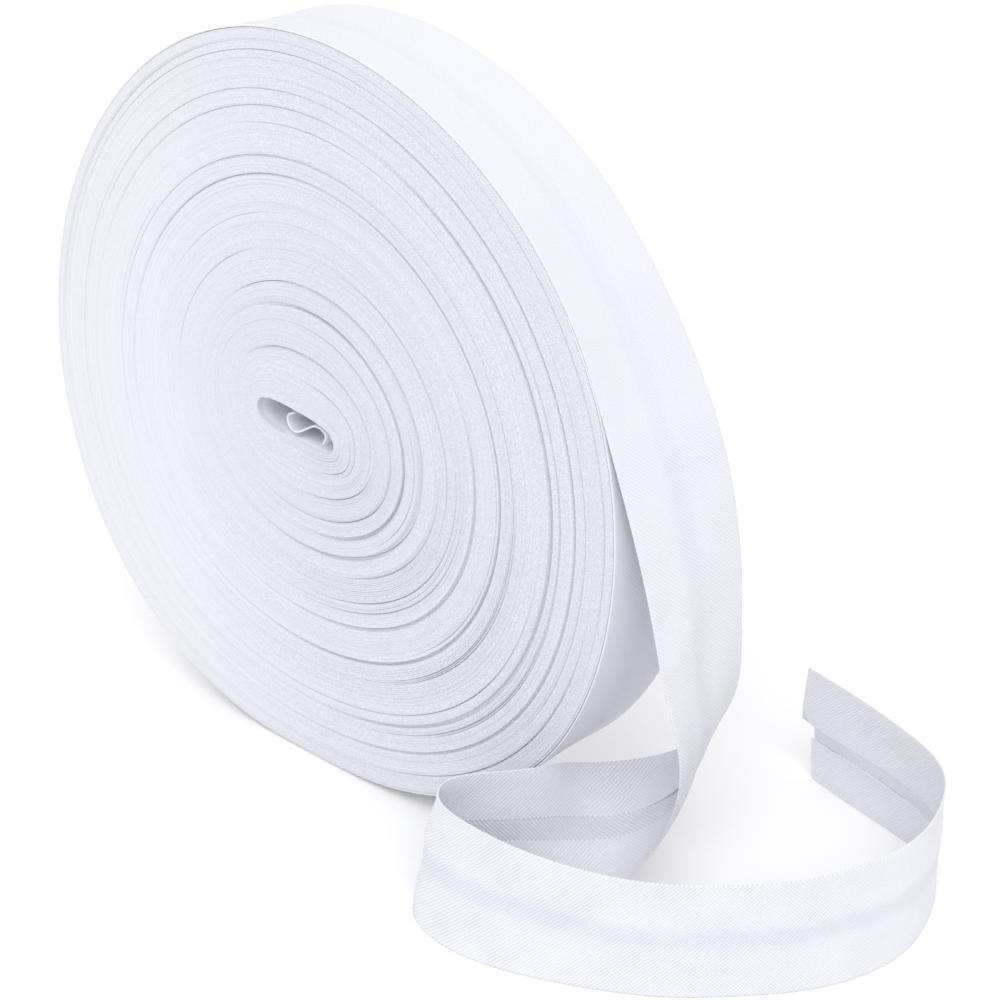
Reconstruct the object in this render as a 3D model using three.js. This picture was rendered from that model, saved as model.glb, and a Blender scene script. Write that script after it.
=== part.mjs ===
// A roll of white single-fold bias tape, wound without a core.
// It stands on its rim. The roll's axis lies along Y and its front face looks towards -Y.
// The outer end hangs off the right side, turns under and stands on edge in a curl.
// Sizes are in millimetres. The origin is the middle of the flat spot that the roll stands on.
import * as THREE from 'three';

// Driving dimensions
const TAPE_WIDTH = 25;
const ROLL_RADIUS = 79.5;
const CENTRE_HEIGHT = 76;
const SHEET = 1;
const CLEARANCE = 0.3;

const FRONT = -TAPE_WIDTH / 2;
const BACK = TAPE_WIDTH / 2;
const RING_STEPS = 60;

// Where the outer end leaves the roll, and how far round the step under it fades out
const LEAVES_AT = THREE.MathUtils.degToRad(23);
const STEP_SLOPE = THREE.MathUtils.degToRad(0.3);
const STEP_FADES = THREE.MathUtils.degToRad(50);

// How far the roll's outline departs from a circle, as waves round it
const outlineWaves = [
  { count: 1, cos: 0, sin: -0.0025 },
  { count: 2, cos: 0.0121, sin: 0.0056 },
  { count: 3, cos: 0.0016, sin: -0.016 },
  { count: 4, cos: -0.0067, sin: 0.0021 },
  { count: 5, cos: -0.0015, sin: 0.0033 },
];

// Turns at five depths of the winding, from the slot in the core to the rim.
// part: 0 in the slot, 1 at the rim; x, z: the oval's middle from the roll's middle;
// long, short: half its length and height; tilt: degrees; square: 2 is an ellipse
const ovals = [
  { part: 0, long: 10.9, short: 3.1, x: -1.5, z: 0.9, tilt: -8, square: 3 },
  { part: 0.14, long: 19.9, short: 14.1, x: 0.1, z: 2.6, tilt: -7, square: 2.1 },
  { part: 0.27, long: 27.9, short: 23.4, x: 1.4, z: 2.7, tilt: -6, square: 2 },
  { part: 0.42, long: 38.2, short: 34, x: 1.9, z: 2.6, tilt: -4, square: 2 },
  { part: 1, long: ROLL_RADIUS, short: ROLL_RADIUS, x: 0, z: 0, tilt: 0, square: 2 },
];

// Groups of turns that stand proud of or sink below the two faces
const turnGroups = [
  { from: 0, to: 0.14, front: 0.3, back: -0.3 },
  { from: 0.14, to: 0.272, front: 0.35, back: 0.1 },
  { from: 0.272, to: 0.328, front: 0.1, back: -0.2 },
  { from: 0.328, to: 0.422, front: -0.2, back: 0.2 },
  { from: 0.422, to: 0.53, front: 0, back: -0.1 },
  { from: 0.53, to: 0.622, front: 0.05, back: 0.2 },
  { from: 0.622, to: 0.794, front: 0.3, back: 0 },
  { from: 0.794, to: 0.872, front: 0.05, back: -0.3 },
  { from: 0.872, to: 1, front: -0.1, back: 0 },
];
const GROOVE_PART = 0.006;
const GROOVE_DEPTH = 0.8;
const EDGE_ROUND = 0.5;
const RIM_TROUGH = 0.5;

// The loose end, one row for each section, from the roll to the cut end.
// x, y, z: its near edge, which becomes the lower one; across: towards the other edge;
// bow: how far the section's middle stands out
const looseEnd = [
  { x: 79.8, y: -12, z: 90, across: [3, 25, 2], bow: 0 },
  { x: 85.2, y: -11, z: 72, across: [2, 25, 2], bow: 0 },
  { x: 89.4, y: -10, z: 53.6, across: [-1, 25, 2], bow: -0.5 },
  { x: 92.5, y: -8.5, z: 35.4, across: [-6, 24, 2], bow: 0 },
  { x: 89, y: -8.3, z: 18.3, across: [-12, 21, 5], bow: 1.8 },
  { x: 79.2, y: -12.2, z: 5.1, across: [-13, 13, 15], bow: 2.4 },
  { x: 68, y: -18.8, z: 2, across: [-4, 5, 24], bow: 1 },
  { x: 54.8, y: -27.2, z: 0.5, across: [-1, 2.5, 25], bow: 0.6 },
  { x: 52.2, y: -36.2, z: 0, across: [3, 4, 24], bow: 0.3 },
  { x: 65.4, y: -40.2, z: 0, across: [1, 6, 24], bow: 0 },
  { x: 83.4, y: -35.5, z: 0, across: [0, 2, 25], bow: 0 },
  { x: 100.2, y: -26.2, z: 0, across: [0.5, -0.5, 25], bow: 0 },
  { x: 114.4, y: -13.6, z: 0, across: [0.8, -0.8, 25], bow: 0 },
  { x: 125, y: 1.7, z: 0, across: [0, 0, 25], bow: 0 },
  { x: 127.9, y: 18.6, z: 0, across: [0, 0, 25], bow: 0 },
  { x: 122.4, y: 36, z: 0, across: [-0.4, -0.5, 25], bow: 0 },
  { x: 110.8, y: 45.2, z: 0, across: [-0.4, -0.6, 25], bow: 0 },
  { x: 95, y: 49.5, z: 0, across: [0, 0, 25], bow: 0 },
  { x: 79.4, y: 53.4, z: 0, across: [0, 0, 25], bow: 0 },
];
const STATIONS_PER_ROW = 4;
const ROW_LENGTH = 16;

// Rows on the rim before the table's first one, in degrees back from where the tape leaves.
// The sheet itself starts just past the last of them, clear of the step
const leadDegrees = [18, 9, 0];
const FIRST_ROW = 2.03;
const CUT_STATIONS = 4;
const NUDGE = 0.05;

// Points across the loose end, from 0 at the near edge to 1 at the far one.
// short: how far the cut end stops short there, since its two folded edges are cut unevenly
const acrossPoints = [
  { at: 0, short: 3.6 },
  { at: 0.25, short: 3.4 },
  { at: 0.46, short: 4.4 },
  { at: 0.6, short: 0.3 },
  { at: 0.8, short: 0 },
  { at: 1, short: 0 },
];

// The inner end's curl in the slot: along the slot and up from its middle line
const innerCurl = [
  { along: -1.6, up: 2 },
  { along: -3.1, up: 0.9 },
  { along: -2.9, up: -0.8 },
  { along: -1.2, up: -1.9 },
  { along: 1.1, up: -0.8 },
  { along: 3.6, up: 1.2 },
  { along: 5.8, up: 1.95 },
  { along: 7.7, up: 1 },
  { along: 7.2, up: -1 },
];
const CURL_STEPS = 24;

const ribbonWhite = new THREE.MeshStandardMaterial({ color: 0xf4f4f8, roughness: 0.85, metalness: 0 });
const shadedWhite = new THREE.MeshStandardMaterial({ color: 0xeaeaf2, roughness: 0.9, metalness: 0 });

// Natural cubic spline through evenly spaced values, as a function of the row number
function splineThrough(values) {
  const last = values.length - 1;
  const ratio = [0];
  const part = [0];
  for (let i = 1; i < last; i++) {
    const pivot = 4 - ratio[i - 1];
    const bend = 6 * (values[i + 1] - 2 * values[i] + values[i - 1]);
    ratio[i] = 1 / pivot;
    part[i] = (bend - part[i - 1]) / pivot;
  }
  const curve = new Array(last + 1).fill(0);
  for (let i = last - 1; i > 0; i--) {
    curve[i] = part[i] - ratio[i] * curve[i + 1];
  }
  return (row) => {
    const i = Math.min(Math.floor(row), last - 1);
    const b = row - i;
    const a = 1 - b;
    const straight = a * values[i] + b * values[i + 1];
    return straight + ((a ** 3 - a) * curve[i] + (b ** 3 - b) * curve[i + 1]) / 6;
  };
}

// Closed mesh from points and triangles, turned so that its faces point out
function closedGeometry(points, triangles) {
  let volume = 0;
  for (const [a, b, c] of triangles) {
    const normal = new THREE.Vector3().crossVectors(points[b], points[c]);
    volume += points[a].dot(normal);
  }
  const outward = volume > 0 ? triangles : triangles.map(([a, b, c]) => [a, c, b]);
  const geometry = new THREE.BufferGeometry().setFromPoints(points);
  geometry.setIndex(outward.flat());
  return geometry;
}

// Triangles between loops of equally many points, each loop closed on itself
function bandTriangles(loopCount, pointCount, closeRound) {
  const triangles = [];
  const bands = closeRound ? loopCount : loopCount - 1;
  for (let i = 0; i < bands; i++) {
    const here = i * pointCount;
    const next = ((i + 1) % loopCount) * pointCount;
    for (let j = 0; j < pointCount; j++) {
      const k = (j + 1) % pointCount;
      triangles.push([here + j, next + j, next + k]);
      triangles.push([here + j, next + k, here + k]);
    }
  }
  return triangles;
}

function outlineFactor(angle) {
  let factor = 1;
  for (const wave of outlineWaves) {
    factor += wave.cos * Math.cos(wave.count * angle) + wave.sin * Math.sin(wave.count * angle);
  }
  return factor;
}

// How deep the rim steps in where the outermost turn has left it
function stepUnderLooseEnd(angle) {
  const past = THREE.MathUtils.euclideanModulo(LEAVES_AT - angle, 2 * Math.PI);
  const fade = 1 - THREE.MathUtils.smoothstep(past, 0, STEP_FADES);
  return (SHEET + CLEARANCE) * fade;
}

function ovalAt(part) {
  const outer = Math.max(1, ovals.findIndex((row) => row.part >= part));
  const [a, b] = [ovals[outer - 1], ovals[outer]];
  const mix = (part - a.part) / (b.part - a.part);
  const oval = {};
  for (const key of Object.keys(a)) {
    oval[key] = THREE.MathUtils.lerp(a[key], b[key], mix);
  }
  return oval;
}

// One point of the turn at this depth of the winding; angle 0 is +X and rises towards +Z
function turnPoint(part, angle, y, inset = 0) {
  const oval = ovalAt(part);
  const power = 2 / oval.square;
  const along = Math.sign(Math.cos(angle)) * Math.abs(Math.cos(angle)) ** power;
  const up = Math.sign(Math.sin(angle)) * Math.abs(Math.sin(angle)) ** power;
  const uneven = 1 + (outlineFactor(angle) - 1) * part * part;
  const tilt = THREE.MathUtils.degToRad(oval.tilt);
  const u = (oval.long * uneven - inset) * along;
  const v = (oval.short * uneven - inset) * up;
  const x = oval.x + u * Math.cos(tilt) - v * Math.sin(tilt);
  const z = oval.z + u * Math.sin(tilt) + v * Math.cos(tilt) + CENTRE_HEIGHT;
  return new THREE.Vector3(x, y, Math.max(z, 0));
}

// Loops over one face, from the slot outwards: each group of turns is a low flat ridge
function faceLoops(side) {
  const loops = [];
  const sign = side === 'front' ? -1 : 1;
  const plane = side === 'front' ? FRONT : BACK;
  turnGroups.forEach((group, i) => {
    const y = plane + sign * group[side];
    const isLast = i === turnGroups.length - 1;
    loops.push({ part: group.from + GROOVE_PART, y });
    if (!isLast) {
      loops.push({ part: group.to - GROOVE_PART, y });
      loops.push({ part: group.to, y: y - sign * GROOVE_DEPTH });
    }
  });
  return loops;
}

// Loops over the rim, front to back: rounded edges and a shallow trough along the middle
function rimLoops() {
  const edge = { part: 1, inset: EDGE_ROUND };
  return [
    { ...edge, y: FRONT },
    { part: 1, y: FRONT + EDGE_ROUND },
    { part: 1, y: -RIM_TROUGH, inset: RIM_TROUGH },
    { part: 1, y: RIM_TROUGH, inset: RIM_TROUGH },
    { part: 1, y: BACK - EDGE_ROUND },
    { ...edge, y: BACK },
  ];
}

function rollGeometry() {
  const innerEdges = [
    { part: 0, y: BACK - GROOVE_DEPTH },
    { part: 0, y: FRONT + GROOVE_DEPTH },
  ];
  const loops = [...faceLoops('front'), ...rimLoops(), ...faceLoops('back').reverse(), ...innerEdges];
  const points = [];
  for (const loop of loops) {
    for (let j = 0; j < RING_STEPS; j++) {
      // The first point is the foot of the step, and the last one its head
      const angle = LEAVES_AT - ((2 * Math.PI - STEP_SLOPE) * j) / (RING_STEPS - 1);
      const onRim = loop.part === 1;
      const step = onRim ? stepUnderLooseEnd(angle) : 0;
      points.push(turnPoint(loop.part, angle, loop.y, (loop.inset ?? 0) + step));
    }
  }
  return closedGeometry(points, bandTriangles(loops.length, RING_STEPS, true));
}

// Rows of the loose end after those on the rim, so that it leaves the roll smoothly
function looseEndRows() {
  const lead = leadDegrees.map((degrees) => {
    const angle = LEAVES_AT + THREE.MathUtils.degToRad(degrees);
    const { x, y, z } = turnPoint(1, angle, FRONT, SHEET / 2);
    return { x, y, z, across: [0, TAPE_WIDTH, 0], bow: 0 };
  });
  return [...lead, ...looseEnd];
}

// The loose end as a surface: a point and its outward normal for a row number and a place across
function looseEndSurface() {
  const rows = looseEndRows();
  const column = (read) => splineThrough(rows.map(read));
  const edge = [column((r) => r.x), column((r) => r.y), column((r) => r.z)];
  const over = [0, 1, 2].map((i) => column((r) => r.across[i]));
  const bow = column((r) => r.bow);
  const edgeAt = (row) => new THREE.Vector3(...edge.map((f) => f(row)));
  const acrossAt = (row) => new THREE.Vector3(...over.map((f) => f(row))).normalize();
  return (row, at) => {
    const across = acrossAt(row);
    const middle = (t) => edgeAt(t).addScaledVector(acrossAt(t), TAPE_WIDTH / 2);
    const travel = middle(Math.min(row + NUDGE, rows.length - 1)).sub(middle(row - NUDGE));
    const normal = new THREE.Vector3().crossVectors(travel, across).normalize();
    const point = edgeAt(row).addScaledVector(across, TAPE_WIDTH * at);
    point.addScaledVector(normal, bow(row) * 4 * at * (1 - at));
    return { point, normal };
  };
}

function looseEndGeometry() {
  const surface = looseEndSurface();
  const lastRow = leadDegrees.length + looseEnd.length - 1;
  const stations = Math.round((lastRow - FIRST_ROW) * STATIONS_PER_ROW);
  const points = [];
  for (let i = 0; i <= stations; i++) {
    const row = THREE.MathUtils.lerp(FIRST_ROW, lastRow, i / stations);
    const nearCut = THREE.MathUtils.smoothstep(i, stations - CUT_STATIONS, stations);
    const outer = [];
    const inner = [];
    for (const { at, short } of acrossPoints) {
      const { point, normal } = surface(row - (nearCut * short) / ROW_LENGTH, at);
      outer.push(point.clone().addScaledVector(normal, SHEET / 2));
      inner.push(point.clone().addScaledVector(normal, -SHEET / 2));
    }
    points.push(...outer, ...inner.reverse());
  }
  for (const point of points) {
    point.z = Math.max(point.z, 0);
  }
  const sides = acrossPoints.length;
  const loopSize = 2 * sides;
  const triangles = bandTriangles(stations + 1, loopSize, false);
  const endLoop = stations * loopSize;
  for (let j = 0; j < sides - 1; j++) {
    const mate = loopSize - 1 - j;
    triangles.push([j, j + 1, mate - 1], [j, mate - 1, mate]);
    triangles.push([endLoop + j, endLoop + mate - 1, endLoop + j + 1]);
    triangles.push([endLoop + j, endLoop + mate, endLoop + mate - 1]);
  }
  return closedGeometry(points, triangles);
}

// The inner end: an S-shaped sheet across the slot, as wide as the tape
function innerCurlGeometry() {
  const along = splineThrough(innerCurl.map((p) => p.along));
  const up = splineThrough(innerCurl.map((p) => p.up));
  const lastRow = innerCurl.length - 1;
  const at = (t) => new THREE.Vector2(along(t), up(t));
  const left = [];
  const right = [];
  for (let i = 0; i <= CURL_STEPS; i++) {
    const t = (i / CURL_STEPS) * lastRow;
    const before = at(Math.max(t - NUDGE, 0));
    const travel = at(Math.min(t + NUDGE, lastRow)).sub(before).normalize();
    const side = new THREE.Vector2(-travel.y, travel.x).multiplyScalar(SHEET / 2);
    left.push(at(t).add(side));
    right.push(at(t).sub(side));
  }
  const outline = new THREE.Shape([...left, ...right.reverse()]);
  return new THREE.ExtrudeGeometry(outline, { depth: TAPE_WIDTH - SHEET, bevelEnabled: false });
}

function buildTapeRoll() {
  const group = new THREE.Group();

  const roll = new THREE.Mesh(rollGeometry(), ribbonWhite);
  roll.name = 'roll';
  group.add(roll);

  const looseTape = new THREE.Mesh(looseEndGeometry(), ribbonWhite);
  looseTape.name = 'loose_end';
  group.add(looseTape);

  const slot = ovals[0];
  const core = new THREE.Group();
  core.position.set(slot.x, (TAPE_WIDTH - SHEET) / 2, CENTRE_HEIGHT + slot.z);
  core.rotation.y = -THREE.MathUtils.degToRad(slot.tilt);
  const curl = new THREE.Mesh(innerCurlGeometry(), shadedWhite);
  curl.name = 'core_curl';
  curl.rotation.x = Math.PI / 2;
  core.add(curl);
  group.add(core);

  return group;
}

export default buildTapeRoll();
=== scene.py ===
import math

import bpy
import numpy as np
from mathutils import Matrix, Vector


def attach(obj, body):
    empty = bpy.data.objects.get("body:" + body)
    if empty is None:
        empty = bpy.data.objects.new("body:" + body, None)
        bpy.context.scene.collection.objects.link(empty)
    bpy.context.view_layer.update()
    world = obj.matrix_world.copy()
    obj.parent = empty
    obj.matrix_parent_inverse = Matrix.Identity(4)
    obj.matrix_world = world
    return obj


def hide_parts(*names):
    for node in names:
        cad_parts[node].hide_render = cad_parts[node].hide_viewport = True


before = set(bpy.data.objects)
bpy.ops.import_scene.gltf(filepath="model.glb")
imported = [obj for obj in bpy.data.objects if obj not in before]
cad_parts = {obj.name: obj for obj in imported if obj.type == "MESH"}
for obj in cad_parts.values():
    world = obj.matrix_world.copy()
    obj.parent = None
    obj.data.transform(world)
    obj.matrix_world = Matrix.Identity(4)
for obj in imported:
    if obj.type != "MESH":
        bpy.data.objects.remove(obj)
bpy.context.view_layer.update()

MM = 0.001

# Driving dimensions, in millimetres
TAPE_WIDTH = 25
ROLL_RADIUS = 79.5
CENTRE_HEIGHT = 76
PLY = 0.18
PLY_GAP = 0.02
FRONT = -TAPE_WIDTH / 2
BACK = TAPE_WIDTH / 2

# The winding. A place along the tape is counted in turns from the slot outwards.
# Going outwards the tape runs clockwise as seen from the front, so its angle falls.
# The turn that ends in the loose end is a piece of its own, and starts just under it.
WOUND_TURNS = 183
LAP = 8 / 360
OUTER_TURN = WOUND_TURNS + 2 + LAP
LEAVES_AT = math.radians(23)
SEAM_ANGLE = LEAVES_AT + LAP * 2 * math.pi

# Camera: the photograph's angle on the object
CAMERA_AZIMUTH = math.radians(42.2)
CAMERA_HEIGHT = math.radians(25.5)
CAMERA_DISTANCE = 403.7
CAMERA_RIGHT = 30.8
CAMERA_UP = -17.4
CAMERA_LENS = 72
SENSOR_WIDTH = 36

# How far the roll's outline departs from a circle: waves round it, cosine and sine
OUTLINE_WAVES = [
    (1, 0.0, -0.0025),
    (2, 0.0121, 0.0056),
    (3, 0.0016, -0.016),
    (4, -0.0067, 0.0021),
    (5, -0.0015, 0.0033),
]

# Turns at five depths of the winding. Columns: part (0 in the slot, 1 at the rim),
# half length, half height, middle x and z from the roll's middle, tilt in degrees,
# squareness (2 is an ellipse)
OVALS = np.array([
    (0.00, 10.9, 3.1, -1.5, 0.9, -8, 3.0),
    (0.14, 19.9, 14.1, 0.1, 2.6, -7, 2.1),
    (0.27, 27.9, 23.4, 1.4, 2.7, -6, 2.0),
    (0.42, 38.2, 34.0, 1.9, 2.6, -4, 2.0),
    (1.00, ROLL_RADIUS, ROLL_RADIUS, 0, 0, 0, 2.0),
])
# Waves round the roll by which the middle turns drift from even spacing: cosine and sine
DRIFT_WAVES = [
    (1, -0.009, -0.0075),
    (2, -0.0045, 0.002),
    (3, -0.0005, -0.0045),
]
# From this part on, the turns bed down evenly where the roll stands
FLATTENED_FROM = 0.93

# Groups of turns that stand proud of or sink below the two faces.
# Columns: the part where the group ends, front height, back height
TURN_GROUPS = [
    (0.140, 0.3, -0.3),
    (0.279, 0.35, 0.1),
    (0.330, 0.1, -0.2),
    (0.428, -0.2, 0.2),
    (0.537, 0.0, -0.1),
    (0.625, 0.05, 0.2),
    (0.800, 0.3, 0.0),
    (0.873, 0.05, -0.3),
    (1.000, -0.1, 0.0),
]

# Dark gaps where neighbouring turns stand apart on a face.
# Columns: part, angle of the gap's middle, its length in degrees, depth, half breadth in turns
FRONT_GAPS = [
    (0.066, -25, 110, 0.6, 0.3),
    (0.081, 25, 150, 0.9, 0.4),
    (0.142, 60, 210, 0.9, 0.4),
    (0.153, -50, 90, 0.7, 0.3),
    (0.220, -5, 230, 0.9, 0.4),
    (0.272, 15, 250, 1.3, 0.8),
    (0.308, -10, 90, 0.5, 0.3),
    (0.328, 5, 260, 1.3, 1.2),
    (0.392, -35, 90, 0.8, 0.4),
    (0.422, 30, 110, 0.8, 0.4),
    (0.428, 145, 80, 0.35, 0.3),
    (0.460, -38, 120, 0.8, 0.4),
    (0.485, -45, 120, 0.8, 0.4),
    (0.530, -35, 160, 0.9, 0.5),
    (0.525, 125, 60, 0.25, 0.3),
    (0.608, -15, 90, 0.8, 0.4),
    (0.622, -20, 240, 1.0, 0.8),
    (0.625, 118, 100, 0.45, 0.3),
    (0.664, -30, 80, 0.7, 0.3),
    (0.679, -30, 80, 0.8, 0.4),
    (0.668, 75, 120, 0.25, 0.3),
    (0.690, 155, 40, 0.4, 0.3),
    (0.755, 60, 130, 0.35, 0.3),
    (0.761, -65, 120, 0.7, 0.3),
    (0.794, -5, 220, 1.2, 0.8),
    (0.800, 118, 130, 0.35, 0.3),
    (0.820, -15, 150, 0.9, 0.4),
    (0.830, -35, 70, 0.6, 0.3),
    (0.840, 110, 120, 0.3, 0.3),
    (0.856, 180, 100, 0.35, 0.3),
    (0.873, -5, 230, 1.0, 0.6),
    (0.902, 0, 90, 0.6, 0.3),
    (0.936, -45, 70, 0.8, 0.3),
    (0.940, 120, 160, 0.35, 0.3),
    (0.960, 15, 80, 0.6, 0.3),
    (0.960, 150, 130, 0.5, 0.4),
]
BACK_GAPS = [
    (0.110, 120, 260, 0.8, 0.4),
    (0.210, 20, 180, 0.8, 0.4),
    (0.279, 200, 300, 1.1, 0.6),
    (0.330, 170, 240, 1.3, 0.9),
    (0.428, 60, 280, 0.8, 0.4),
    (0.537, 280, 160, 0.8, 0.4),
    (0.625, 220, 300, 1.1, 0.6),
    (0.690, 140, 180, 0.7, 0.3),
    (0.800, 160, 260, 1.2, 0.8),
    (0.873, 320, 200, 0.9, 0.4),
    (0.930, 30, 300, 0.8, 0.4),
]

# The roll is made in nested bundles of turns, parted where the winding shows a gap
BUNDLES = [
    ("roll_inner_turns", 0, 61),
    ("roll_middle_turns", 61, 124),
    ("roll_outer_turns", 124, WOUND_TURNS),
]
# Half the gap between two bundles, in turns
BUNDLE_GAP = 0.03
# Points round one turn
COLUMNS = 180
# One turn's folded edge: how far across the turn, and how far below its crest
BEAD = [(0.25, 0.03), (0.5, 0.0), (0.75, 0.03)]
LINES = len(BEAD) + 1
# How unevenly the turns are spaced, in turns, how fast that changes along the winding, and
# of how many waves it is the sum
SPACING_JITTER = 0.16
SPACING_RATE = 2.1
SPACING_WAVES = 9
# The spacing is even at the slot and at the rim. The unevenness fades in over the first
# turns, and out between two turns near the rim
EVEN_AT_SLOT = 3
EVEN_AT_RIM = (WOUND_TURNS - 5, WOUND_TURNS - 1)
# Half the breadth of the step from one group of turns to the next, in turns
GROUP_STEP = 0.5
# How far single turns and runs of turns stand out of their group by chance, and how fast
# that changes along the winding
TURN_UNEVEN = 0.04
TURN_RATE = 3.3
RUN_UNEVEN = 0.05
RUN_RATE = 0.45
# Depth of the crevice between two turns. Its share swings round the roll, and is largest
# at this angle in radians, at the lower right
CREVICE = 0.17
CREVICE_MEAN = 0.34
CREVICE_SWING = 0.25
DEEPEST_AT = -0.5
# How the crevices differ by chance, from turn to turn and from place to place
CREVICE_UNEVEN = 0.35
CREVICE_RATE = 2.6
CALM_UNEVEN = 0.3
CALM_RATES = (0.09, 1.4)
CREVICE_LIMITS = (0.35, 2)
# A gap's walls reach this far to either side of its edge, in turns
GAP_WALL = 0.3
# Share of a gap's length, from its middle outwards, over which it has its full depth
GAP_FULL = 0.35
# How far a gap pushes the edges beside it apart, in turns for each millimetre of its depth
GAP_OPENING = 0.4
# Over its last turns the front face rounds back to the rim, and the back face stands out
SHOULDER_TURNS = 6
FRONT_SHOULDER = 0.45
BACK_SHOULDER = -0.15
# The outermost turn lies this far behind the front
RIM_INSET = 0.4
# Across the hidden walls of a bundle: place across the tape, and how far the wall sinks
WALL = [(-0.62, 0.25), (-0.2, 0.5), (0.0, 0.6), (0.2, 0.5), (0.62, 0.25)]
EDGE_SINK = 0.06
# Bends sharper than this many degrees are shaded as edges
SHARP_ON_ROLL = 80
SHARP_ON_TAPE = 50
# Starting numbers of the random draws
SPACING_SEED = 11
FRONT_SEED = 21
BACK_SEED = 61
RIPPLE_SEED = 5
FLUTTER_SEED = 6

# The loose end, one row for each section, from the roll to the cut end. Columns: x, y, z
# of its near edge, which becomes the lower one; direction across; how far it bows out
LOOSE_END = [
    (79.8, -12, 90, 3.4, 25, 2, 0),
    (85.2, -11, 72, 2, 25, 2, 0),
    (89.4, -10, 53.6, -1, 25, 2, -0.5),
    (92.5, -8.5, 35.4, -6, 24, 2, 0),
    (89, -8.3, 18.3, -12, 21, 5, 1.8),
    (79.2, -12.2, 4.9, -13, 13, 15, 2.4),
    (67.5, -19, 1.9, -4, 5, 24, 1),
    (54.8, -27.2, 0.5, -1, 2.5, 25, 0.6),
    (52.2, -36.2, 0, 3, 4, 24, 0.3),
    (65.4, -40.2, 0, 1, 6, 24, 0),
    (83.4, -35.5, 0, 0, 2, 25, 0),
    (100.2, -26.2, 0, 0.5, -0.5, 25, 0),
    (114.4, -13.6, 0, 0.8, -0.8, 25, 0),
    (125, 1.7, 0, 0, 0, 25, 0),
    (127.9, 18.6, 0, 0, 0, 25, 0),
    (122.4, 36, 0, -0.4, -0.5, 25, 0),
    (110.8, 45.2, 0, -0.4, -0.6, 25, 0),
    (95, 49.5, 0, 0, 0, 25, 0),
    (79.4, 53.4, 0, 0, 0, 25, 0),
]
# Rows of the outermost turn, and how many sections each row has there and in the loose end
RIM_ROWS = 42
RIM_STATIONS = 4
LOOSE_STATIONS = 12
# How far the tape's middle sinks on the rim
RIM_TROUGH = 0.35
# The tape's far edge lifts off the roll a little before the near one
FAR_EDGE_FLARE = 1.9
FLARE_ANGLE = math.radians(17)
# Over the gap between its folded edges the tape's face dips: how far, and from how far
# inside the gap's edge to how far outside it
MIDDLE_DIP = 0.17
DIP_INSIDE = 0.9
DIP_OUTSIDE = 0.5
# Height of the loose cloth's ripples, and how fast they change along and across the tape
WAVINESS = 0.14
RIPPLE_RATES = (0.22, 0.3)
# Ripples and lifted flaps fade in up to this row, from which the tape hangs free
FREE_FROM = 2
# How far the flaps' raw edges lift, by how much that varies, and how fast along the tape
FLAP_LIFT = 0.1
FLAP_FLUTTER = 0.8
FLUTTER_RATES = (0.25, 0.0)
# Steps in each row over which the tape's length is measured
LENGTH_STEPS = 20
# A soft crease lies along the middle of the free end, from this row on
CREASE_FROM = 14
CREASE = 1.3
CREASE_ROUND = 0.06

# The gap between the two folded edges on the tape's inner side.
# Columns: row of the loose end, width, how far its middle is from the tape's middle
FLAP_GAP = [(0, 4.6, 0), (9, 4.6, 0), (13, 3.8, -0.3), (17, 3.1, -0.8), (19, 3.1, -0.8)]

# Half the breadth of the cloth's middle that no folded edge covers
SINGLE_PLY = 2.45

# Places across the outer ply where it has points
PLY_PLACES = [
    -12.31, -11.6, -10, -8, -6, -4.2, -3.3, -2.4, -2.2, -1.5, -0.8, 0,
    0.7, 0.85, 1.5, 2.2, 3.3, 4.2, 6, 8, 10, 11.6, 12.31,
]
FLAP_STEPS = 4
FOLD_STEPS = 5

# How far the cut end stops short: place across the tape, and length
CUT_SHORT = [
    (-12.5, 3.6),
    (-6, 3.4),
    (-2.35, 3.5),
    (-2.25, 4.5),
    (0.72, 4.3),
    (0.83, 0.3),
    (8, 0),
    (12.5, 0),
]
STRAIGHT_CUT = [(FRONT, 0), (BACK, 0)]
# Length of tape over which its sections come to follow the cut
CUT_REACH = 10

# The inner end's curl in the slot: along the slot and up from its middle line
INNER_CURL = [
    (-1.6, 2),
    (-3.1, 0.9),
    (-2.9, -0.8),
    (-1.2, -1.9),
    (1.1, -0.8),
    (3.6, 1.2),
    (5.8, 1.95),
    (7.7, 1),
    (7.2, -1),
]
CURL_STATIONS = 10
CURL_INSET = 0.4

# Cloth: a weave cut on the bias, whose ribs lie this many millimetres apart
RIB = 0.6
# Columns: name, how dark the painted shade in the weave's valleys is, depth of the ribs. The single
# ply gets more painted shade, for the shade behind it that shows through its holes
WEAVES = [
    ("bias_cotton", 0.6, 0.1),
    ("bias_cotton_single_ply", 1.2, 0.14),
]
# Noise scales are for each millimetre of cloth
WOBBLE_SCALE = 0.8
WOBBLE = 0.5
RIB_SHARE = 0.7
THREAD_SHARE = 0.3
SLUB_SCALE = 2.2
SLUB_SHADE = 0.06
SLUB_HEIGHT = 0.4
PATCH_SCALE = 0.09
TINT_SCALE = 0.035

# Ranges that turn a value into another: the first pair becomes the second.
# Patches where the weave shows more, from a broad noise
PATCHES = ((0.35, 0.65), (0.45, 1.0))
# By length along the tape: the weave shows more on the loose end, and less at its free end
LOOSE_WEAVE = ((480, 640), (0.5, 2.0))
LOOSE_RELIEF = ((480, 640), (0.4, 1.0))
CALM_END = ((730, 780), (1.0, 0.3))
# Painted shade on the tape where it leaves the roll, fading out where it hangs
LEAVING_PAINTED_SHADE = ((380, 500), (0.05, 0.3))
PAINTED_SHADE_FADES = ((530, 580), (1.0, 0.0))
# By distance from the tape's middle line: the weave shows more on the folded edges, and painted shade
# lies along the middle, over the dip of the outer face and where the gap shows through the single ply
FOLDED_IN = ((12.3, 12.6), (1.0, 1.3))
MIDDLE_PAINTED_SHADE = ((1.0, 3.4), (0.15, 0.0))

# The wound edges. Specks of their weave for each metre, and their relief in millimetres
SPECK_SCALE = 3800
SPECK_RELIEF = 0.1
SPECKS = ((0.38, 0.66), (0.0, 1.0))
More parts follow.
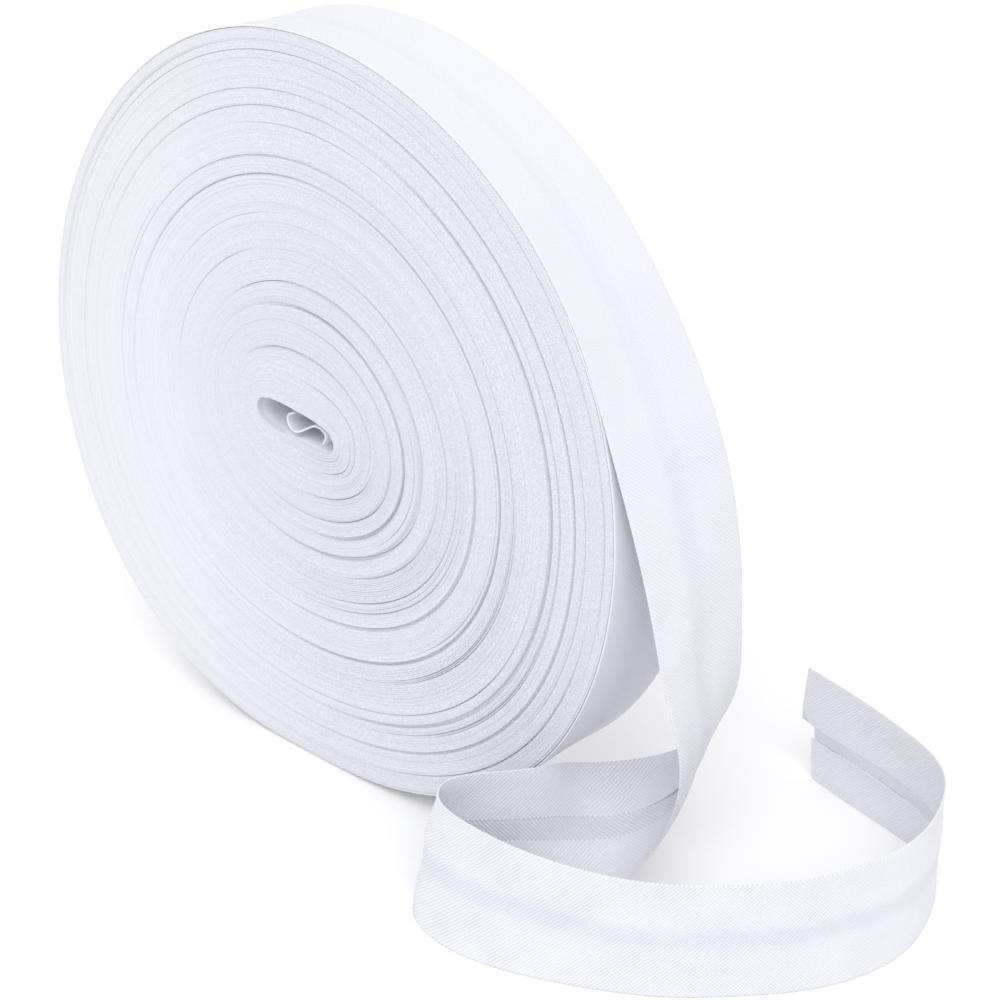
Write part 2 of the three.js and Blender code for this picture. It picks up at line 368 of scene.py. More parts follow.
# From the roll's left to its right, in metres, the specks show more
ROUGH = ((-0.045, 0.005), (0.12, 0.9))
# Only the two faces are shaded: by distance from the roll's middle plane, in metres
ON_FACE = ((0.0112, 0.0118), (0.0, 1.0))
TURN_TINT_SCALE = 0.9
TURN_SHADE = ((0.35, 0.65), (0.0, 0.25))
# By turns from the slot: painted shade darkens the faces, most at the inner turns; the outer turns are
# cooler
FACE_PAINTED_SHADE = ((40.0, 130.0), (0.36, 0.22))
OUTER_COOL = ((95.0, 165.0), (0.0, 1.0))

# Colours of the cloth: two tints, and a darker colour for painted shade in the weave's valleys and on
# the roll's faces, and for darker threads, slubs and turns
CLOTH_COOL = (0.87, 0.879, 0.896, 1)
CLOTH_LILAC = (0.872, 0.87, 0.915, 1)
PAINTED_SHADE_AND_DARK_TONE = (0.7, 0.7, 0.77, 1)

# The floor's two tints and the grain that mixes them
FLOOR_WHITE = (0.98, 0.98, 0.98, 1)
FLOOR_GREY = (0.95, 0.95, 0.95, 1)
FLOOR_GRAIN_SCALE = 3.0
FLOOR_GRAIN = 0.1
# The floor's half size, and how far it lies below the roll, in metres
FLOOR_REACH = 6.0
FLOOR_DROP = 0.0001

# Light: a bright surround, and far lamps
SURROUND = (0.955, 0.957, 0.977, 1)
SURROUND_STRENGTH = 0.81
# Columns: name, direction it shines from, strength, breadth in degrees
LAMPS = [
    ("overhead", (-0.1, -0.1, 1), 0.3, 60),
    ("front_fill", (0.4, -0.5, 0.766), 0.99, 40),
]


def add_camera():
    """Camera at the photograph's angle on the object."""
    flat = math.cos(CAMERA_HEIGHT)
    sideways = math.sin(CAMERA_AZIMUTH) * flat
    back = Vector((sideways, -math.cos(CAMERA_AZIMUTH) * flat, math.sin(CAMERA_HEIGHT)))
    right = Vector((math.cos(CAMERA_AZIMUTH), math.sin(CAMERA_AZIMUTH), 0))
    up = back.cross(right)
    aim = Vector((0, 0, CENTRE_HEIGHT)) + right * CAMERA_RIGHT + up * CAMERA_UP
    eye = (aim + back * CAMERA_DISTANCE) * MM
    data = bpy.data.cameras.new("camera")
    data.lens = CAMERA_LENS
    data.sensor_width = SENSOR_WIDTH
    data.clip_start = 0.01
    camera = bpy.data.objects.new("camera", data)
    turn = Matrix((right, up, back)).transposed().to_4x4()
    camera.matrix_world = Matrix.Translation(eye) @ turn
    bpy.context.scene.collection.objects.link(camera)
    bpy.context.scene.camera = camera


class Wander:
    """Smooth random values along one or more numbers, as a sum of waves drawn once."""

    def __init__(self, seed, rates, waves=12):
        draw = np.random.default_rng(seed)
        self.rates = draw.normal(0, 1, (waves, len(rates))) * np.array(rates)
        self.phases = draw.uniform(0, 2 * np.pi, waves)
        self.scale = math.sqrt(2 / waves)

    def __call__(self, *at):
        total = 0
        for rate, phase in zip(self.rates, self.phases):
            total = total + np.sin(sum(r * a for r, a in zip(rate, at)) + phase)
        return total * self.scale


def smoothstep(value, low, high):
    """0 below low, 1 above high and a smooth rise between them."""
    t = np.clip((value - low) / (high - low), 0, 1)
    return t * t * (3 - 2 * t)


def spline_through(values):
    """Natural cubic spline through evenly spaced rows, as a function of the row number."""
    values = np.asarray(values, float)
    count = len(values)
    system = 4 * np.eye(count) + np.eye(count, k=1) + np.eye(count, k=-1)
    system[[0, -1]] = np.eye(count)[[0, -1]]
    bend = np.zeros_like(values)
    bend[1:-1] = 6 * (values[2:] - 2 * values[1:-1] + values[:-2])
    curve = np.linalg.solve(system, bend)

    def at(row):
        i = np.clip(np.floor(row).astype(int), 0, count - 2)
        b = (row - i)[..., None]
        a = 1 - b
        straight = a * values[i] + b * values[i + 1]
        return straight + ((a**3 - a) * curve[i] + (b**3 - b) * curve[i + 1]) / 6

    return at


def waves_round(table, angle):
    """Sum of waves round the roll, from a table of count, cosine and sine."""
    return sum(c * np.cos(count * angle) + s * np.sin(count * angle) for count, c, s in table)


def round_turn_point(part, angle, inset):
    """x and z of a turn before its weight flattens the roll where it stands."""
    columns = [np.interp(part, OVALS[:, 0], OVALS[:, i]) for i in range(1, 7)]
    half_length, half_height, middle_x, middle_z, tilt, square = columns
    power = 2 / square
    along = np.sign(np.cos(angle)) * np.abs(np.cos(angle)) ** power
    rise = np.sign(np.sin(angle)) * np.abs(np.sin(angle)) ** power
    uneven = 1 + waves_round(OUTLINE_WAVES, angle) * part * part
    u = (half_length * uneven - inset) * along
    v = (half_height * uneven - inset) * rise
    turn = np.radians(tilt)
    x = middle_x + u * np.cos(turn) - v * np.sin(turn)
    z = middle_z + u * np.sin(turn) + v * np.cos(turn) + CENTRE_HEIGHT
    return x, z


def turn_point(part, angle, inset=0.0):
    """x and z of a turn; angle 0 is +X and rises towards +Z."""
    part = part + 4 * part * (1 - part) * waves_round(DRIFT_WAVES, angle)
    x, z = round_turn_point(part, angle, inset)
    rim_z = round_turn_point(np.ones_like(angle), angle, 0.0)[1]
    lift = np.maximum(0, -rim_z)
    fade = np.clip((part - FLATTENED_FROM) / (1 - FLATTENED_FROM), 0, 1) ** 2
    return x, np.maximum(z + lift * fade, 0)


def angle_of(turns):
    """Angle of a place along the tape, as it is seen from the front."""
    return SEAM_ANGLE - 2 * np.pi * turns


spacing = Wander(SPACING_SEED, [SPACING_RATE], SPACING_WAVES)


def part_of(turns):
    """Depth in the winding of a place along the tape, with the turns unevenly spaced."""
    calm = smoothstep(turns, 0, EVEN_AT_SLOT) * (1 - smoothstep(turns, *EVEN_AT_RIM))
    return (turns + SPACING_JITTER * calm * spacing(turns)) / OUTER_TURN


def group_height(turns, column):
    """Height of a turn's edge over its face, level within a group of turns."""
    height = np.full_like(turns, TURN_GROUPS[0][column])
    for inner, outer in zip(TURN_GROUPS, TURN_GROUPS[1:]):
        edge = inner[0] * OUTER_TURN
        change = outer[column] - inner[column]
        height = height + change * smoothstep(turns, edge - GROUP_STEP, edge + GROUP_STEP)
    return height


def gap_depth(turns, round_once, gaps):
    """How far the dark gaps lower a face at a place in the winding.

    round_once is how far round from the seam the place lies, as a share of a turn.
    """
    total = np.zeros_like(turns)
    for part, middle, length, depth, half_breadth in gaps:
        fraction = (math.degrees(SEAM_ANGLE) - middle) / 360 % 1
        centre = round(part * OUTER_TURN - fraction) + fraction
        offset = (round_once - fraction + 0.5) % 1 - 0.5
        half = length / 720
        here = 1 - smoothstep(np.abs(offset), GAP_FULL * half, half)
        away = np.abs(turns - centre - offset)
        inside = 1 - smoothstep(away, half_breadth - GAP_WALL, half_breadth + GAP_WALL)
        total = np.maximum(total, depth * here * inside)
    return total


class Face:
    """One face of the roll: the heights of its folded edges and the crevices between them."""

    def __init__(self, out, column, gaps, shoulder, seed):
        self.out = out
        self.column = column
        self.gaps = gaps
        self.shoulder = shoulder
        self.turn_by_turn = Wander(seed, [TURN_RATE])
        self.run_by_run = Wander(seed + 1, [RUN_RATE])
        self.crevices = Wander(seed + 2, [CREVICE_RATE])
        self.calm = Wander(seed + 3, CALM_RATES)

    def edge_height(self, turns):
        """Height of a turn's folded edge over its face."""
        own = TURN_UNEVEN * self.turn_by_turn(turns) + RUN_UNEVEN * self.run_by_run(turns)
        near_rim = smoothstep(turns, OUTER_TURN - SHOULDER_TURNS, OUTER_TURN)
        height = group_height(turns, self.column) + own * (1 - near_rim)
        return height - self.shoulder * near_rim**2

    def crevice_depth(self, turns):
        """The turns lie closer and calmer at the roll's upper left than at its lower right."""
        angle = angle_of(turns)
        strength = CREVICE_MEAN + CREVICE_SWING * np.cos(angle - DEEPEST_AT)
        uneven = 1 + CREVICE_UNEVEN * self.crevices(turns)
        calm = 1 + CALM_UNEVEN * self.calm(turns, np.cos(angle))
        return CREVICE * strength * np.clip(uneven * calm, *CREVICE_LIMITS)

    def lines(self, first, last):
        """Lines over a bundle's face, from its inner turn to its outer one.

        Returns where each point lies along the winding, and its y.
        """
        round_once = np.arange(COLUMNS + 1) / COLUMNS
        places = []
        heights = []
        for turn in range(first, last + 1):
            turns = turn + round_once
            gap = gap_depth(turns, round_once, self.gaps)
            below = np.minimum(self.edge_height(turns - 0.5), self.edge_height(turns + 0.5))
            places.append(turns)
            heights.append(below - self.crevice_depth(turns) - gap)
            if turn == last:
                break
            next_gap = gap_depth(turns + 1, round_once, self.gaps)
            crest = self.edge_height(turns + 0.5) - gap_depth(turns + 0.5, round_once, self.gaps)
            for share, drop in BEAD:
                open_up = np.minimum(gap, 1) * (1 - share) - np.minimum(next_gap, 1) * share
                places.append(turns + share + GAP_OPENING * open_up)
                heights.append(crest - drop)
        places[0] = places[0] + BUNDLE_GAP
        places[-1] = places[-1] - BUNDLE_GAP
        return np.array(places), self.out * (TAPE_WIDTH / 2 + np.array(heights))


def link_mesh(name, points, polygons, corner_places, materials, sharp, second=None):
    """Object from points in millimetres and polygons, with its places on the cloth as a UV map.

    second marks the polygons that have the second material.
    """
    used, numbers = np.unique(np.concatenate(polygons), return_inverse=True)
    sizes = [len(polygon) for polygon in polygons]
    faces = np.split(numbers, np.cumsum(sizes)[:-1])
    mesh = bpy.data.meshes.new(name)
    mesh.from_pydata((points[used] * MM).tolist(), [], [face.tolist() for face in faces])
    layer = mesh.uv_layers.new(name="cloth")
    layer.uv.foreach_set("vector", corner_places.astype(np.float32).ravel())
    mesh.shade_smooth()
    mesh.set_sharp_from_angle(angle=math.radians(sharp))
    for material in materials:
        mesh.materials.append(material)
    if second is not None:
        mesh.polygons.foreach_set("material_index", second.astype(np.int32))
    piece = bpy.data.objects.new(name, mesh)
    bpy.context.scene.collection.objects.link(piece)
    return piece


def grid_corners(rows, columns, wrap_rows):
    """Row and column of the four corners of each cell in a grid."""
    last = rows if wrap_rows else rows - 1
    row, column = np.meshgrid(np.arange(last), np.arange(columns - 1), indexing="ij")
    row, column = row.ravel(), column.ravel()
    next_row = (row + 1) % rows
    rows_at = np.stack([row, next_row, next_row, row], -1)
    columns_at = np.stack([column, column, column + 1, column + 1], -1)
    return rows_at, columns_at


def length_along(places):
    """Length of tape from the slot to each place in the winding."""
    whole_turns = np.arange(WOUND_TURNS + 4)
    circumference = 2 * np.pi * ROLL_RADIUS * whole_turns / OUTER_TURN
    return np.interp(places, whole_turns, np.cumsum(circumference))


def bundle_caps(index, half, far):
    """Corners of the two caps that close a bundle, at its first turn's start and last turn's end."""
    inner_wall = np.arange(far + half, len(index))[::-1]
    start_cap = np.concatenate([
        index[:LINES + 1, 0],
        index[inner_wall, -1],
        index[far + half - 1 - LINES:far + half, 0],
        index[inner_wall[::-1], 0],
    ])
    outer_wall = np.arange(half, far)
    end_cap = np.concatenate([
        index[half - 1 - LINES:half, -1],
        index[outer_wall, -1],
        index[far:far + LINES + 1, -1],
        index[outer_wall[::-1], 0],
    ])
    return start_cap[::-1], end_cap


def wound_bundle(name, first, last, front, back, material):
    """A bundle of turns: a closed body with two grooved faces and two hidden walls.

    A loop goes once round and ends one turn further out than it began, where the loop of
    the next turn begins. Only the first turn's start and the last turn's end stay open,
    and a cap closes each.
    """
    front_places, front_y = front.lines(first, last)
    back_places, back_y = back.lines(first, last)
    half = len(front_places)
    wall = len(WALL)
    count = COLUMNS + 1
    wall_y = np.repeat([[BACK * share] for share, _ in WALL], count, 1)
    wall_sink = [sink for _, sink in WALL]
    outer_places = np.repeat(front_places[-1:], wall, 0)
    inner_places = np.repeat(front_places[:1], wall, 0)
    places = np.concatenate([front_places, outer_places, back_places[::-1], inner_places])
    y = np.concatenate([front_y, wall_y, back_y[::-1], wall_y[::-1]])
    sink = np.zeros((len(places), 1))
    sink[half:half + wall, 0] = wall_sink
    sink[[half - 1, half + wall]] = EDGE_SINK
    angle = np.broadcast_to(angle_of(np.arange(count) / COLUMNS), places.shape)
    x, z = turn_point(part_of(places), angle, sink)
    points = np.stack([x, y, z], -1)

    loops = len(places)
    far = half + wall
    index = np.arange(loops * count).reshape(loops, count)
    index[:half - LINES, -1] = index[LINES:half, 0]
    index[far + LINES:far + half, -1] = index[far:far + half - LINES, 0]
    rows, columns = grid_corners(loops, count, wrap_rows=True)
    quads = index[rows, columns]

    start_cap, end_cap = bundle_caps(index, half, far)
    along = length_along(places)
    cloth_places = np.stack([along[rows, columns], places[rows, columns]], -1).reshape(-1, 2)
    cap_places = np.zeros((len(start_cap) + len(end_cap), 2))
    corner_places = np.concatenate([cloth_places, cap_places])
    polygons = [*quads, start_cap, end_cap]
    return link_mesh(name, points.reshape(-1, 3), polygons, corner_places, [material], SHARP_ON_ROLL)


def rim_rows():
    """Rows of the outermost turn, from under the place where it leaves the roll."""
    turned = np.linspace(0, 1 + LAP, RIM_ROWS)
    part = (WOUND_TURNS + 1 + turned) / OUTER_TURN
    x, z = turn_point(part, angle_of(turned), PLY + PLY_GAP / 2)
    level = np.full_like(x, FRONT + RIM_INSET)
    before = 2 * np.pi * (turned[-1] - turned)
    flare = FAR_EDGE_FLARE * np.maximum(0, 1 - before / FLARE_ANGLE) ** 2
    out_x = flare * np.cos(LEAVES_AT + before)
    out_z = flare * np.sin(LEAVES_AT + before)
    across = np.stack([out_x, np.full_like(x, TAPE_WIDTH), out_z], -1)
    bow = np.full((len(x), 1), -RIM_TROUGH)
    return np.hstack([np.stack([x, level, z], -1), across, bow])


def ply_chain(gap_width, gap_middle):
    """The folded cloth's middle line across the tape, from one raw edge to the other.

    Each row is one section. Returns places across, heights over the tape's middle plane,
    places on the flat cloth, and how near each point is to a raw edge.
    """
    fold_radius = (PLY + PLY_GAP) / 2
    fold_at = TAPE_WIDTH / 2 - fold_radius - PLY / 2
    fold_length = math.pi * fold_radius
    sections = len(gap_width)
    share = np.linspace(0, 1, FLAP_STEPS + 1)
    turn = np.linspace(0, math.pi, FOLD_STEPS + 2)[1:-1]
    sides = {}
    for side in (-1, 1):
        raw_at = gap_middle + side * gap_width / 2
        flap = raw_at[:, None] + (side * fold_at - raw_at[:, None]) * share
        flap_flat = side * (2 * fold_at + fold_length) - flap
        fold = side * (fold_at + fold_radius * np.sin(turn))
        fold_flat = side * (fold_at + fold_length * (1 - turn / math.pi))
        across = np.hstack([flap, np.tile(fold, (sections, 1))])
        height = np.concatenate([np.full(len(share), -fold_radius), -fold_radius * np.cos(turn)])
        flat = np.hstack([flap_flat, np.tile(fold_flat, (sections, 1))])
        raw = np.concatenate([(1 - share) ** 2, np.zeros(FOLD_STEPS)])
        sides[side] = (across, np.tile(height, (sections, 1)), flat, np.tile(raw, (sections, 1)))
    ply = np.tile(PLY_PLACES, (sections, 1))
    edge = gap_width[:, None] / 2
    in_gap = 1 - smoothstep(np.abs(ply - gap_middle[:, None]), edge - DIP_INSIDE, edge + DIP_OUTSIDE)
    middle = (ply, fold_radius - MIDDLE_DIP * in_gap, ply, np.zeros_like(ply))
    return [np.hstack([a, m, b[:, ::-1]]) for a, m, b in zip(sides[-1], middle, sides[1])]


def unit(vectors):
    return vectors / np.linalg.norm(vectors, axis=-1, keepdims=True)


def tape_middle(values):
    """The tape's middle line, from the values of its rows."""
    return values[..., :3] + unit(values[..., 3:6]) * TAPE_WIDTH / 2


def places_along(at_row, last_row, row_of_station, across, cut):
    """Length along the tape and row of each point, and the tape's whole length.

    Near the end the points stop short, as the uneven cut does.
    """
    fine = np.linspace(0, last_row, LENGTH_STEPS * last_row + 1)
    fine_steps = np.linalg.norm(np.diff(tape_middle(at_row(fine)), axis=0), axis=1)
    length_at = np.concatenate([[0], np.cumsum(fine_steps)])
    length = np.interp(row_of_station, fine, length_at)
    short = np.interp(across, [place for place, _ in cut], [reach for _, reach in cut])
    near_cut = smoothstep(length, length_at[-1] - CUT_REACH, length_at[-1])[:, None]
    length = length[:, None] - near_cut * short
    return length, np.interp(length, length_at, fine), length_at[-1]


def outward_of(at_row, row, last_row, side):
    """Direction out of the tape's face, square to its run and to its width."""
    nudge = 0.02
    ahead = tape_middle(at_row(np.minimum(row + nudge, last_row)))
    behind = tape_middle(at_row(np.maximum(row - nudge, 0)))
    return unit(np.cross(ahead - behind, side))


def loose_height(height, loose, length, across, flat, raw):
    """Heights over the tape's middle plane, with the loose cloth's ripples and lifted flaps."""
    ripple = Wander(RIPPLE_SEED, RIPPLE_RATES)
    flutter = Wander(FLUTTER_SEED, FLUTTER_RATES)
    lift = FLAP_LIFT * (1 + FLAP_FLUTTER * flutter(length, np.sign(flat))) * raw
    return height + loose[:, None] * (WAVINESS * ripple(length, across) - np.maximum(lift, 0))


def bow_of(row_bow, crease, across):
    """How far the tape's middle stands out of its edges: a bow, less the crease along it."""
    share = 2 * across / TAPE_WIDTH
    bow = row_bow * (1 - share**2)
    return bow - crease[:, None] * (1 - np.sqrt(share**2 + CREASE_ROUND**2))


def two_skins(across, height):
    """Both surfaces of the cloth, half its thickness to either side of its middle line."""
    slope_across = np.gradient(across, axis=1)
    slope_height = np.gradient(height, axis=1)
    size = np.hypot(slope_across, slope_height)
    skins = []
    for face in (1, -1):
        skin_across = across - face * PLY / 2 * slope_height / size
        skin_height = height + face * PLY / 2 * slope_across / size
        skins.append((skin_across, skin_height))
    return skins


def there_and_back(first, second):
    """One loop round each section: the first surface, and the second one turned round."""
    return np.concatenate([first, second[:, ::-1]], axis=1)


def tape_mesh(name, loop, length, flat, materials):
    """A closed thin cloth from a loop for each section, with a strip of caps at either end."""
    stations, round_points = loop.shape[:2]
    points_across = round_points // 2
    index = np.arange(stations * round_points).reshape(stations, round_points).T
    rows_at, columns_at = grid_corners(round_points, stations, wrap_rows=True)
    quads = index[rows_at, columns_at][:, ::-1]
    cloth_places = np.stack([length.T[rows_at, columns_at], flat.T[rows_at, columns_at]], -1)
    cloth_places = cloth_places[:, ::-1].reshape(-1, 2)
    caps = []
    cap_places = []
    for station, turned in ((0, 1), (stations - 1, -1)):
        for j in range(points_across - 1):
            ring = np.array([j, j + 1, round_points - 2 - j, round_points - 1 - j])[::turned]
            caps.append(index[ring, station])
            cap_places.append(np.stack([length[station, ring], flat[station, ring]], -1))
    corner_places = np.concatenate([cloth_places, *cap_places])
    quad_flats = cloth_places[:, 1].reshape(-1, 4)
    single = (rows_at[:, 0] >= points_across) & (np.abs(quad_flats).max(axis=1) < SINGLE_PLY)
    second = np.concatenate([single, np.zeros(len(caps), bool)])
    points = loop.reshape(-1, 3)
    return link_mesh(name, points, [*quads, *caps], corner_places, materials, SHARP_ON_TAPE, second)


def folded_tape(name, rows, row_of_station, gap_width, gap_middle, loose, crease, cut, materials):
    """The tape as a thin cloth with its two edges folded in, along rows of sections."""
    at_row = spline_through(rows)
    last_row = len(rows) - 1
    across, height, flat, raw = ply_chain(gap_width, gap_middle)
    length, row, whole_length = places_along(at_row, last_row, row_of_station, across, cut)
    values = at_row(row)
    side = unit(values[..., 3:6])
    out = outward_of(at_row, row, last_row, side)
    bow = bow_of(values[..., 6], crease, across)
    height = loose_height(height, loose, length, across, flat, raw)
    skins = []
    for skin_across, skin_height in two_skins(across, height):
        on_face = values[..., :3] + side * (skin_across + TAPE_WIDTH / 2)[..., None]
        skins.append(on_face + out * (skin_height + bow)[..., None])
    loop = there_and_back(*skins)
    loop[..., 2] = np.maximum(loop[..., 2], 0)
    lengths = there_and_back(length, length)
    piece = tape_mesh(name, loop, lengths, there_and_back(flat, flat), materials)
    return piece, whole_length


def outer_tape(materials):
    """The outermost turn and the loose end that it runs into, as one cloth."""
    rows = np.vstack([rim_rows(), np.array(LOOSE_END, float)])
    rim = np.linspace(0, RIM_ROWS - 1, (RIM_ROWS - 1) * RIM_STATIONS, endpoint=False)
    loose_rows = len(LOOSE_END)
    loose = np.linspace(RIM_ROWS - 1, len(rows) - 1, loose_rows * LOOSE_STATIONS + 1)
    row = np.concatenate([rim, loose])
    table_row = row - RIM_ROWS
    gap = np.array(FLAP_GAP)
    width = np.interp(table_row, gap[:, 0], gap[:, 1])
    middle = np.interp(table_row, gap[:, 0], gap[:, 2])
    free = smoothstep(table_row, 0, FREE_FROM)
    crease = CREASE * smoothstep(table_row, CREASE_FROM, loose_rows)
    return folded_tape("tape_loose_end", rows, row, width, middle, free, crease, CUT_SHORT, materials)


def inner_end(materials):
    """The tape's inner end, curled in the slot."""
    slot = OVALS[0]
    tilt = math.radians(slot[5])
    curl = np.array(INNER_CURL, float)
    x = slot[3] + curl[:, 0] * math.cos(tilt) - curl[:, 1] * math.sin(tilt)
    z = slot[4] + CENTRE_HEIGHT + curl[:, 0] * math.sin(tilt) + curl[:, 1] * math.cos(tilt)
    across = np.tile([0, TAPE_WIDTH, 0], (len(curl), 1))
    bow = np.zeros((len(curl), 1))
    level = np.full(len(curl), FRONT + CURL_INSET)
    rows = np.hstack([np.stack([x, level, z], -1), across, bow])
    row = np.linspace(0, len(rows) - 1, (len(rows) - 1) * CURL_STATIONS + 1)
    gap = np.full(len(row), FLAP_GAP[0][1])
    none = np.zeros(len(row))
    return folded_tape("tape_inner_end", rows, row, gap, none, none, none, STRAIGHT_CUT, materials)


class Graph:
    """Short calls for the nodes of one material."""

    def __init__(self, name):
        self.material = bpy.data.materials.new(name)
        self.material.use_nodes = True
        self.nodes = self.material.node_tree.nodes
        self.links = self.material.node_tree.links
        self.shader = self.nodes["Principled BSDF"]

    def add(self, kind, inputs=None, **settings):
        node = self.nodes.new(kind)
        for key, value in settings.items():
            setattr(node, key, value)
        for key, value in (inputs or {}).items():
            self.put(value, node.inputs[key])
        return node

    def put(self, value, socket):
        if isinstance(value, bpy.types.NodeSocket):
            self.links.new(value, socket)
        else:
            socket.default_value = value

    def math(self, operation, *values):
        inputs = dict(enumerate(values))
        return self.add("ShaderNodeMath", inputs, operation=operation).outputs[0]

    def noise(self, vector, scale, detail=2.0):
        inputs = {"Vector": vector, "Scale": scale, "Detail": detail}
        return self.add("ShaderNodeTexNoise", inputs).outputs["Fac"]

    def range(self, value, source, target):
        inputs = {"Value": value, "From Min": source[0], "From Max": source[1]}
        inputs["To Min"], inputs["To Max"] = target
        return self.add("ShaderNodeMapRange", inputs).outputs[0]

    def mix(self, factor, first, second):
        node = self.add("ShaderNodeMix", data_type="RGBA")
        self.put(factor, node.inputs["Factor"])
        self.put(first, node.inputs["A"])
        self.put(second, node.inputs["B"])
        return node.outputs["Result"]


def finish_cloth(graph, colour, height, distance):
    """Matt cotton: colour and bump from the nodes, the rest set on the shader."""
    bump = graph.add("ShaderNodeBump", {"Height": height, "Distance": distance, "Strength": 1.0})
    shader = graph.shader
    graph.put(colour, shader.inputs["Base Color"])
    graph.put(bump.outputs["Normal"], shader.inputs["Normal"])
    shader.inputs["Roughness"].default_value = 0.88
    shader.inputs["Specular IOR Level"].default_value = 0.2
    shader.inputs["Sheen Weight"].default_value = 0.12
    shader.inputs["Sheen Roughness"].default_value = 0.5
    return graph.material


def woven_cloth(name, painted_valley_shade, rib_depth):
    """The tape's cloth: its ribs run at 45 degrees to the tape, and fine threads cross them. Its
    colour carries painted shade in the weave's valleys, along the tape's middle and where the tape
    leaves the roll.
    """
    graph = Graph(name)
    place = graph.add("ShaderNodeUVMap", uv_map="cloth").outputs["UV"]
    parts = graph.add("ShaderNodeSeparateXYZ", {"Vector": place}).outputs
    wobble = graph.math("MULTIPLY", graph.noise(place, WOBBLE_SCALE), WOBBLE)
    turn = math.pi / (RIB * math.sqrt(2))

    def ridges(operation):
        along = graph.math("ADD", graph.math(operation, parts["X"], parts["Y"]), wobble)
        return graph.math("ABSOLUTE", graph.math("SINE", graph.math("MULTIPLY", along, turn)))

    ribs = graph.math("MULTIPLY", ridges("SUBTRACT"), RIB_SHARE)
    threads = graph.math("MULTIPLY", ridges("ADD"), THREAD_SHARE)
    height = graph.math("ADD", ribs, threads)
    slub = graph.noise(place, SLUB_SCALE, 3.0)
    off_middle = graph.math("ABSOLUTE", parts["Y"])

    bold = graph.range(graph.noise(place, PATCH_SCALE), *PATCHES)
    loose = graph.range(parts["X"], *LOOSE_WEAVE)
    for more in (loose, graph.range(parts["X"], *CALM_END), graph.range(off_middle, *FOLDED_IN)):
        bold = graph.math("MULTIPLY", bold, more)
    # painted shade in the weave's valleys, bolder in patches, on the loose end and on the folded
    # edges, calmer at the free end
    valleys_for_painted_shade = graph.math("MULTIPLY", graph.math("SUBTRACT", 1.0, height), bold)
    # painted shade along the tape's middle, stronger on the loose end
    middle = graph.math("MULTIPLY", graph.range(off_middle, *MIDDLE_PAINTED_SHADE), loose)
    # painted shade where the tape leaves the roll, fading out where it hangs
    leaving_painted_shade = graph.math("MULTIPLY", graph.range(parts["X"], *LEAVING_PAINTED_SHADE), graph.range(parts["X"], *PAINTED_SHADE_FADES))
    # factor sums the painted shade with the slubs' darker threads
    factor = graph.math("MULTIPLY", valleys_for_painted_shade, painted_valley_shade)
    for shade in (graph.math("MULTIPLY", slub, SLUB_SHADE), middle, leaving_painted_shade):
        factor = graph.math("ADD", factor, shade)
    clamped = graph.add("ShaderNodeClamp", {"Value": factor}).outputs[0]
    tint = graph.mix(graph.noise(place, TINT_SCALE), CLOTH_COOL, CLOTH_LILAC)

    relief = graph.math("ADD", height, graph.math("MULTIPLY", slub, SLUB_HEIGHT))
    relief = graph.math("MULTIPLY", relief, graph.range(parts["X"], *LOOSE_RELIEF))
    return finish_cloth(graph, graph.mix(clamped, tint, PAINTED_SHADE_AND_DARK_TONE), relief, rib_depth * MM)


def wound_cloth():
    """The roll's faces: folded edges of the same cloth, turn beside turn, with painted shade over the
    faces, most at the inner turns.
    """
    graph = Graph("wound_cotton_edges")
    place = graph.add("ShaderNodeUVMap", uv_map="cloth").outputs["UV"]
    parts = graph.add("ShaderNodeSeparateXYZ", {"Vector": place}).outputs
    body = graph.add("ShaderNodeTexCoord").outputs["Object"]
    space = graph.add("ShaderNodeSeparateXYZ", {"Vector": body}).outputs
    threads = graph.noise(body, SPECK_SCALE)
    by_turn = graph.add("ShaderNodeCombineXYZ", {"X": space["X"], "Y": parts["Y"], "Z": space["Z"]})
    turn_tint = graph.noise(by_turn.outputs[0], TURN_TINT_SCALE, 3.0)
    rough = graph.range(space["X"], *ROUGH)
    on_face = graph.range(graph.math("ABSOLUTE", space["Y"]), *ON_FACE)
    speckle = graph.math("MULTIPLY", graph.range(threads, *SPECKS), rough)
    by_turns = graph.range(turn_tint, *TURN_SHADE)
    # painted shade over the faces, most at the inner turns
    inner = graph.range(parts["Y"], *FACE_PAINTED_SHADE)
    factor = graph.math("ADD", graph.math("ADD", speckle, by_turns), inner)
    factor = graph.math("MULTIPLY", factor, on_face)
    tint = graph.mix(graph.range(parts["Y"], *OUTER_COOL), CLOTH_LILAC, CLOTH_COOL)
    # factor sums the faces' painted shade with the specks and the turn streaks
    return finish_cloth(graph, graph.mix(factor, tint, PAINTED_SHADE_AND_DARK_TONE), threads, SPECK_RELIEF * MM)


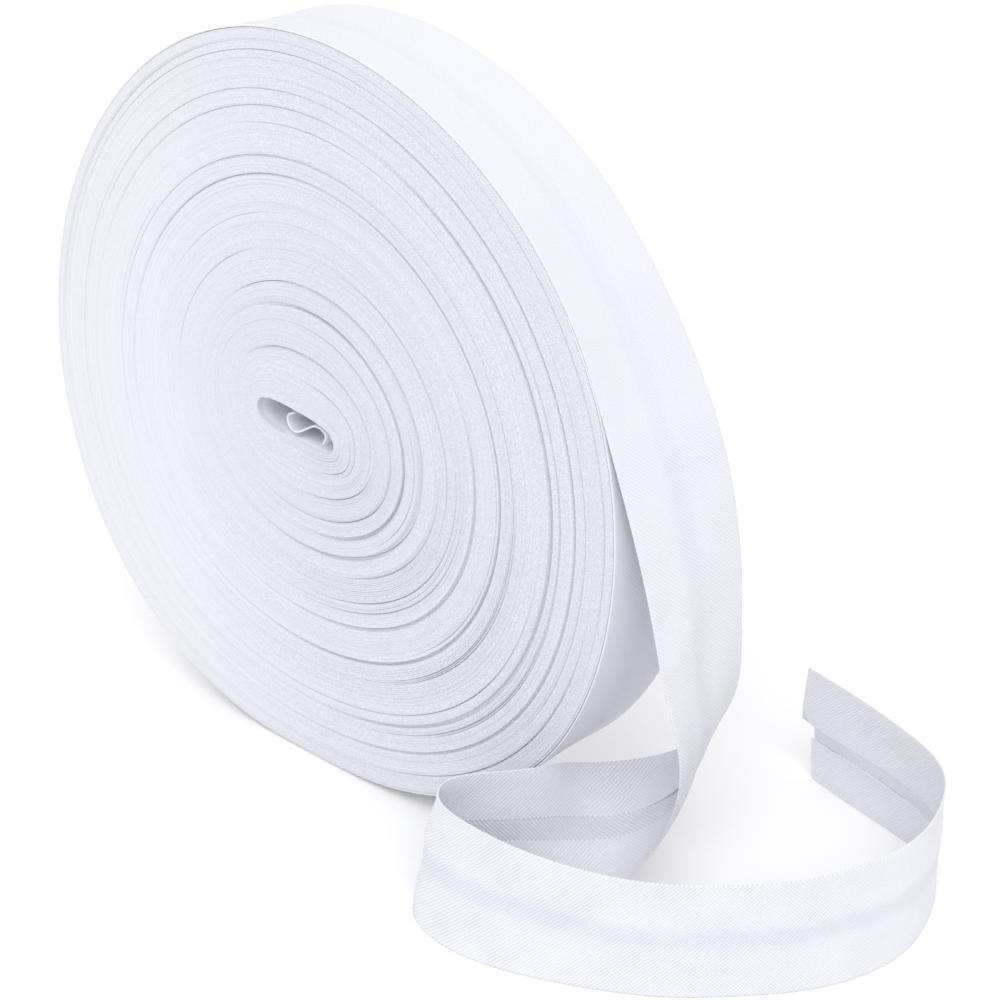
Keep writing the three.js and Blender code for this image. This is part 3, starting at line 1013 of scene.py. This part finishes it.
def add_floor():
    """Plain pale floor, far wider than the picture."""
    graph = Graph("floor")
    grain = graph.noise(graph.add("ShaderNodeTexCoord").outputs["Object"], FLOOR_GRAIN_SCALE)
    tint = graph.mix(graph.math("MULTIPLY", grain, FLOOR_GRAIN), FLOOR_WHITE, FLOOR_GREY)
    graph.put(tint, graph.shader.inputs["Base Color"])
    graph.shader.inputs["Roughness"].default_value = 0.9
    graph.shader.inputs["Specular IOR Level"].default_value = 0.1
    mesh = bpy.data.meshes.new("floor")
    corners = [(-1, -1), (1, -1), (1, 1), (-1, 1)]
    points = [(x * FLOOR_REACH, y * FLOOR_REACH, -FLOOR_DROP) for x, y in corners]
    mesh.from_pydata(points, [], [(0, 1, 2, 3)])
    mesh.materials.append(graph.material)
    floor = bpy.data.objects.new("floor", mesh)
    bpy.context.scene.collection.objects.link(floor)


def soft_light(name, place, strength, spread):
    """A far lamp that shines evenly from one side, with soft shadows."""
    data = bpy.data.lights.new(name, "SUN")
    data.energy = strength
    data.angle = math.radians(spread)
    light = bpy.data.objects.new(name, data)
    light.rotation_euler = Vector(place).to_track_quat("Z", "Y").to_euler()
    bpy.context.scene.collection.objects.link(light)


def add_lights():
    """Plain soft studio light: a bright surround, a lamp overhead and a fill from the front."""
    world = bpy.data.worlds.new("studio")
    world.use_nodes = True
    background = world.node_tree.nodes["Background"]
    background.inputs["Color"].default_value = SURROUND
    background.inputs["Strength"].default_value = SURROUND_STRENGTH
    bpy.context.scene.world = world
    for lamp in LAMPS:
        soft_light(*lamp)
    bpy.context.scene.view_settings.view_transform = "Standard"


def declare(roll_bundles, loose_end, curl):
    """Attaches each piece to the root body, and hides the imported parts that it replaces."""
    for bundle in roll_bundles:
        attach(bundle, "root")
        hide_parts("roll")
    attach(loose_end, "root")
    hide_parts("loose_end", "roll")
    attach(curl, "root")
    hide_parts("core_curl")


add_camera()
cloth = [woven_cloth(*weave) for weave in WEAVES]
edges = wound_cloth()
front_face = Face(-1, 1, FRONT_GAPS, FRONT_SHOULDER, FRONT_SEED)
back_face = Face(1, 2, BACK_GAPS, BACK_SHOULDER, BACK_SEED)
bundles = [wound_bundle(*bundle, front_face, back_face, edges) for bundle in BUNDLES]
loose_piece, loose_length = outer_tape(cloth)
curl_piece, curl_length = inner_end(cloth)
declare(bundles, loose_piece, curl_piece)
add_floor()
add_lights()
